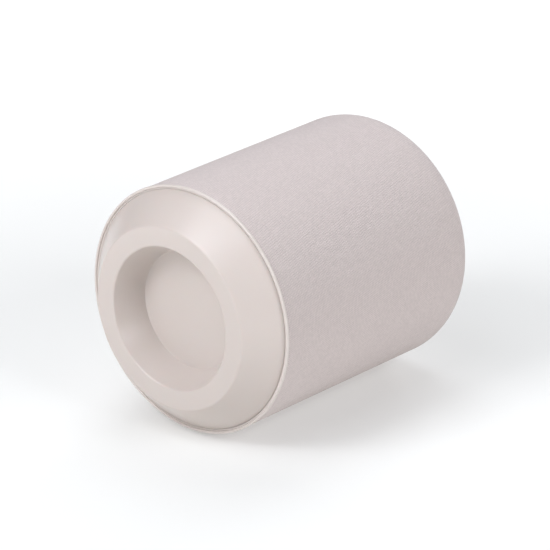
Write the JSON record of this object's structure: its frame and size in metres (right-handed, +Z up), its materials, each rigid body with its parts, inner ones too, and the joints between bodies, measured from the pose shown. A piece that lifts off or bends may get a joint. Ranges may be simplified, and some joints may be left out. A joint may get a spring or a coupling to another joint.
{
  "type": "portable bluetooth speaker",
  "caption": "Small can-shaped wireless speaker lying on its side, with a fabric sleeve, a tapered hollow base cap and a round key panel.",
  "frame": {"origin": "centre of the bounding box's bottom, on the surface that the foot strip rests on", "axes": "+Z up, the can's axis along X with the base cap at -X and the control panel at +X, the port flap at +Y"},
  "size_m": [0.1012, 0.08, 0.0812],
  "materials": {
    "ivory_plastic": "satin ivory ABS",
    "trim_plastic": "semi-gloss off-white ABS",
    "sleeve_fabric": "fine plain weave, warm light grey",
    "silicone": "matte moulded silicone",
    "inner_plastic": "black moulded plastic",
    "clear_plastic": "clear moulded acrylic",
    "black_rubber": "matte black rubber",
    "cone_paper": "pressed paper and resin-dipped cloth",
    "circuit_board": "solder-masked glass-epoxy",
    "pressed_steel": "plated pressed steel",
    "ferrite": "sintered ferrite",
    "copper_wire": "enamelled winding wire",
    "cell_wrap": "shrink film and lead insulation",
    "screw_steel": "zinc-plated"
  },
  "bodies": {
    "speaker_body": {"base_cap": "ivory_plastic", "trim_ring": "trim_plastic", "fabric_sleeve": "sleeve_fabric", "grille_tube": "inner_plastic", "foot_strip": "silicone", "control_panel": "ivory_plastic", "panel_trim": "trim_plastic", "key_board": "circuit_board", "status_light_guide": "clear_plastic", "status_led": "clear_plastic", "microphone": "pressed_steel", "sound_deflector": "inner_plastic", "enclosure": "inner_plastic", "driver_basket": "pressed_steel", "driver_top_plate": "pressed_steel", "driver_magnet": "ferrite", "driver_yoke": "pressed_steel", "driver_gasket": "black_rubber", "radiator_frame": "pressed_steel", "radiator_clamp_ring": "inner_plastic", "main_board": "circuit_board", "bluetooth_module": "pressed_steel", "usb_c_socket": "pressed_steel", "aux_jack": "inner_plastic", "port_bezel": "ivory_plastic", "battery_pack": "cell_wrap", "battery_tray": "inner_plastic", "speaker_lead": "cell_wrap", "battery_lead": "cell_wrap", "key_flex": "circuit_board", "play_switch": "pressed_steel", "mode_switch": "pressed_steel", "minus_switch": "pressed_steel", "power_switch": "pressed_steel", "plus_switch": "pressed_steel", "key_board_screw_1": "screw_steel", "key_board_screw_2": "screw_steel", "key_board_screw_3": "screw_steel", "deflector_screw_1": "screw_steel", "deflector_screw_2": "screw_steel", "driver_screw_1": "screw_steel", "driver_screw_2": "screw_steel", "driver_screw_3": "screw_steel", "driver_screw_4": "screw_steel", "main_board_screw_1": "screw_steel", "main_board_screw_2": "screw_steel"},
    "play_key_body": {"play_key": "silicone"},
    "mode_key_body": {"mode_key": "silicone"},
    "minus_key_body": {"minus_key": "silicone"},
    "power_key_body": {"power_key": "silicone"},
    "plus_key_body": {"plus_key": "silicone"},
    "port_flap_body": {"port_flap": "silicone"},
    "driver_moving": {"driver_cone": "cone_paper", "dust_cap": "cone_paper", "voice_coil": "copper_wire", "spider": "cone_paper", "driver_surround": "black_rubber"},
    "radiator_moving": {"radiator_disc": "inner_plastic", "radiator_weight": "pressed_steel", "radiator_surround": "black_rubber"}
  },
  "joints": [
    {"name": "play_press", "type": "slide", "parent": "speaker_body", "child": "play_key_body", "axis": [-1, 0, 0], "range_m": [0, 0.0004], "stiffness_N_per_m": 400, "springref_m": -0.0002},
    {"name": "mode_press", "type": "slide", "parent": "speaker_body", "child": "mode_key_body", "axis": [-1, 0, 0], "range_m": [0, 0.0004], "stiffness_N_per_m": 400, "springref_m": -0.0002},
    {"name": "minus_press", "type": "slide", "parent": "speaker_body", "child": "minus_key_body", "axis": [-1, 0, 0], "range_m": [0, 0.0004], "stiffness_N_per_m": 400, "springref_m": -0.0002},
    {"name": "power_press", "type": "slide", "parent": "speaker_body", "child": "power_key_body", "axis": [-1, 0, 0], "range_m": [0, 0.0004], "stiffness_N_per_m": 400, "springref_m": -0.0002},
    {"name": "plus_press", "type": "slide", "parent": "speaker_body", "child": "plus_key_body", "axis": [-1, 0, 0], "range_m": [0, 0.0004], "stiffness_N_per_m": 400, "springref_m": -0.0002},
    {"name": "port_flap_hinge", "type": "hinge", "parent": "speaker_body", "child": "port_flap_body", "pos_m": [-0.009, 0.04, 0.0362], "axis": [-1, 0, 0], "range_deg": [0, 110]},
    {"name": "driver_excursion", "type": "slide", "parent": "speaker_body", "child": "driver_moving", "axis": [1, 0, 0], "range_m": [-0.002, 0.002], "stiffness_N_per_m": 1300, "deforming": ["driver_surround", "spider"]},
    {"name": "radiator_excursion", "type": "slide", "parent": "speaker_body", "child": "radiator_moving", "axis": [-1, 0, 0], "range_m": [-0.003, 0.003], "stiffness_N_per_m": 900, "deforming": ["radiator_surround"]}
  ]
}
